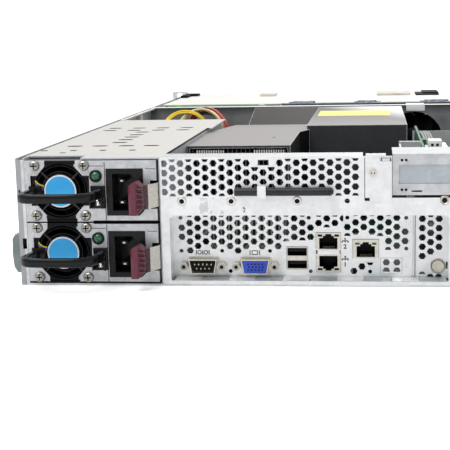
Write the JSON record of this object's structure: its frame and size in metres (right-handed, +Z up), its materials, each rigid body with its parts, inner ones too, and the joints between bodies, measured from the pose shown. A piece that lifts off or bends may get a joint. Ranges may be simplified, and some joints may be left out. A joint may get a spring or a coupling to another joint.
{
  "type": "2U rack server",
  "caption": "Open two-unit rack server with hot-plug supplies, riser cage, air baffle, fan wall and drive bays.",
  "frame": {"origin": "centre of the underside of the tray", "axes": "+Z up, +Y towards the front ears and drives, -Y out of the rear panel with the ports, +X to the right seen from the rear"},
  "size_m": [0.4826, 0.7216, 0.0865],
  "materials": {
    "galvanised": "brushed",
    "psu_shell": "brushed",
    "zinc_screws": "polished",
    "spring_latch": "satin",
    "ear_paint": "satin",
    "bumper_plastic": "matt",
    "board_green": "satin",
    "fin_aluminium": "satin",
    "baffle_plastic": "satin",
    "fan_plastic": "satin",
    "port_nickel": "polished",
    "inlet_black": "satin",
    "handle_black": "satin",
    "carrier_black": "satin",
    "lever_burgundy": "satin",
    "lead_yellow": "satin",
    "lens_clear": "gloss"
  },
  "bodies": {
    "chassis": {"base_tray": "galvanised", "rear_panel": "galvanised", "io_plate": "galvanised", "psu_cage": "galvanised", "rack_ears": "ear_paint", "rail_bumper": "bumper_plastic", "motherboard": "board_green", "cpu_heatsinks": "fin_aluminium", "dimm_modules": "board_green", "air_baffle": "baffle_plastic", "fan_wall": "galvanised", "fan_frames": "fan_plastic", "power_backplane": "board_green", "power_board": "board_green", "psu_cables": "lead_yellow", "serial_port": "port_nickel", "vga_port": "port_nickel", "usb_ports": "port_nickel", "lan_jacks": "port_nickel", "uid_switch": "inlet_black", "riser_bracket": "galvanised", "panel_screws": "zinc_screws", "riser_cage": "galvanised", "slot_blanks": "psu_shell", "riser_board": "board_green", "stored_key": "zinc_screws", "drive_cage": "galvanised", "drive_backplane": "board_green", "drive_blanks": "carrier_black", "control_module": "carrier_black"},
    "psu_lower": {"psu_lower_case": "psu_shell", "psu_lower_fan_frame": "fan_plastic", "psu_lower_screws": "zinc_screws", "psu_lower_inlet": "inlet_black", "psu_lower_handle": "handle_black"},
    "psu_lower_rotor": {"psu_lower_rotor": "fan_plastic"},
    "psu_lower_latch": {"psu_lower_latch": "spring_latch"},
    "psu_upper": {"psu_upper_case": "psu_shell", "psu_upper_fan_frame": "fan_plastic", "psu_upper_screws": "zinc_screws", "psu_upper_inlet": "inlet_black", "psu_upper_handle": "handle_black"},
    "psu_upper_rotor": {"psu_upper_rotor": "fan_plastic"},
    "psu_upper_latch": {"psu_upper_latch": "spring_latch"},
    "fan_1_rotor": {"fan_rotor_1": "fan_plastic"},
    "fan_2_rotor": {"fan_rotor_2": "fan_plastic"},
    "fan_3_rotor": {"fan_rotor_3": "fan_plastic"},
    "fan_4_rotor": {"fan_rotor_4": "fan_plastic"},
    "fan_5_rotor": {"fan_rotor_5": "fan_plastic"},
    "carrier_1": {"drive_carrier_1": "carrier_black"},
    "lever_1": {"drive_lever_1": "lever_burgundy"},
    "carrier_2": {"drive_carrier_2": "carrier_black"},
    "lever_2": {"drive_lever_2": "lever_burgundy"},
    "carrier_3": {"drive_carrier_3": "carrier_black"},
    "lever_3": {"drive_lever_3": "lever_burgundy"},
    "carrier_4": {"drive_carrier_4": "carrier_black"},
    "lever_4": {"drive_lever_4": "lever_burgundy"},
    "power_button": {"power_button": "lens_clear"},
    "front_uid_button": {"front_uid_button": "lens_clear"},
    "rear_uid_button": {"rear_uid_button": "lens_clear"}
  },
  "joints": [
    {"name": "psu_lower_slide", "type": "slide", "parent": "chassis", "child": "psu_lower", "axis": [0, -1, 0], "range_m": [0, 0.19]},
    {"name": "psu_lower_latch_flex", "type": "hinge", "parent": "psu_lower", "child": "psu_lower_latch", "pos_m": [-0.1302, -0.298, 0.019], "axis": [0, 0, 1], "range_deg": [-4, 0], "stiffness_Nm_per_rad": 1.5},
    {"name": "psu_lower_fan_spin", "type": "hinge", "parent": "psu_lower", "child": "psu_lower_rotor", "pos_m": [-0.1941, -0.325, 0.0214], "axis": [0, 1, 0], "continuous": true},
    {"name": "psu_upper_slide", "type": "slide", "parent": "chassis", "child": "psu_upper", "axis": [0, -1, 0], "range_m": [0, 0.19]},
    {"name": "psu_upper_latch_flex", "type": "hinge", "parent": "psu_upper", "child": "psu_upper_latch", "pos_m": [-0.1302, -0.298, 0.0596], "axis": [0, 0, 1], "range_deg": [-4, 0], "stiffness_Nm_per_rad": 1.5},
    {"name": "psu_upper_fan_spin", "type": "hinge", "parent": "psu_upper", "child": "psu_upper_rotor", "pos_m": [-0.1941, -0.325, 0.062], "axis": [0, 1, 0], "continuous": true},
    {"name": "fan_1_spin", "type": "hinge", "parent": "chassis", "child": "fan_1_rotor", "pos_m": [-0.085, 0.12, 0.0485], "axis": [0, 1, 0], "continuous": true},
    {"name": "fan_2_spin", "type": "hinge", "parent": "chassis", "child": "fan_2_rotor", "pos_m": [-0.019, 0.12, 0.0485], "axis": [0, 1, 0], "continuous": true},
    {"name": "fan_3_spin", "type": "hinge", "parent": "chassis", "child": "fan_3_rotor", "pos_m": [0.047, 0.12, 0.0485], "axis": [0, 1, 0], "continuous": true},
    {"name": "fan_4_spin", "type": "hinge", "parent": "chassis", "child": "fan_4_rotor", "pos_m": [0.113, 0.12, 0.0485], "axis": [0, 1, 0], "continuous": true},
    {"name": "fan_5_spin", "type": "hinge", "parent": "chassis", "child": "fan_5_rotor", "pos_m": [0.179, 0.12, 0.0485], "axis": [0, 1, 0], "continuous": true},
    {"name": "carrier_1_slide", "type": "slide", "parent": "chassis", "child": "carrier_1", "axis": [0, 1, 0], "range_m": [0, 0.17]},
    {"name": "lever_1_swing", "type": "hinge", "parent": "carrier_1", "child": "lever_1", "pos_m": [-0.1165, 0.341, 0.0085], "axis": [0, 0, 1], "range_deg": [-60, 0]},
    {"name": "carrier_2_slide", "type": "slide", "parent": "chassis", "child": "carrier_2", "axis": [0, 1, 0], "range_m": [0, 0.17]},
    {"name": "lever_2_swing", "type": "hinge", "parent": "carrier_2", "child": "lever_2", "pos_m": [-0.0085, 0.341, 0.0085], "axis": [0, 0, 1], "range_deg": [-60, 0]},
    {"name": "carrier_3_slide", "type": "slide", "parent": "chassis", "child": "carrier_3", "axis": [0, 1, 0], "range_m": [0, 0.17]},
    {"name": "lever_3_swing", "type": "hinge", "parent": "carrier_3", "child": "lever_3", "pos_m": [0.0995, 0.341, 0.0085], "axis": [0, 0, 1], "range_deg": [-60, 0]},
    {"name": "carrier_4_slide", "type": "slide", "parent": "chassis", "child": "carrier_4", "axis": [0, 1, 0], "range_m": [0, 0.17]},
    {"name": "lever_4_swing", "type": "hinge", "parent": "carrier_4", "child": "lever_4", "pos_m": [0.2075, 0.341, 0.0085], "axis": [0, 0, 1], "range_deg": [-60, 0]},
    {"name": "power_button_press", "type": "slide", "parent": "chassis", "child": "power_button", "axis": [0, -1, 0], "range_m": [0, 0.002], "stiffness_N_per_m": 400},
    {"name": "front_uid_button_press", "type": "slide", "parent": "chassis", "child": "front_uid_button", "axis": [0, -1, 0], "range_m": [0, 0.002], "stiffness_N_per_m": 300},
    {"name": "rear_uid_button_press", "type": "slide", "parent": "chassis", "child": "rear_uid_button", "axis": [0, 1, 0], "range_m": [0, 0.0015], "stiffness_N_per_m": 300}
  ]
}
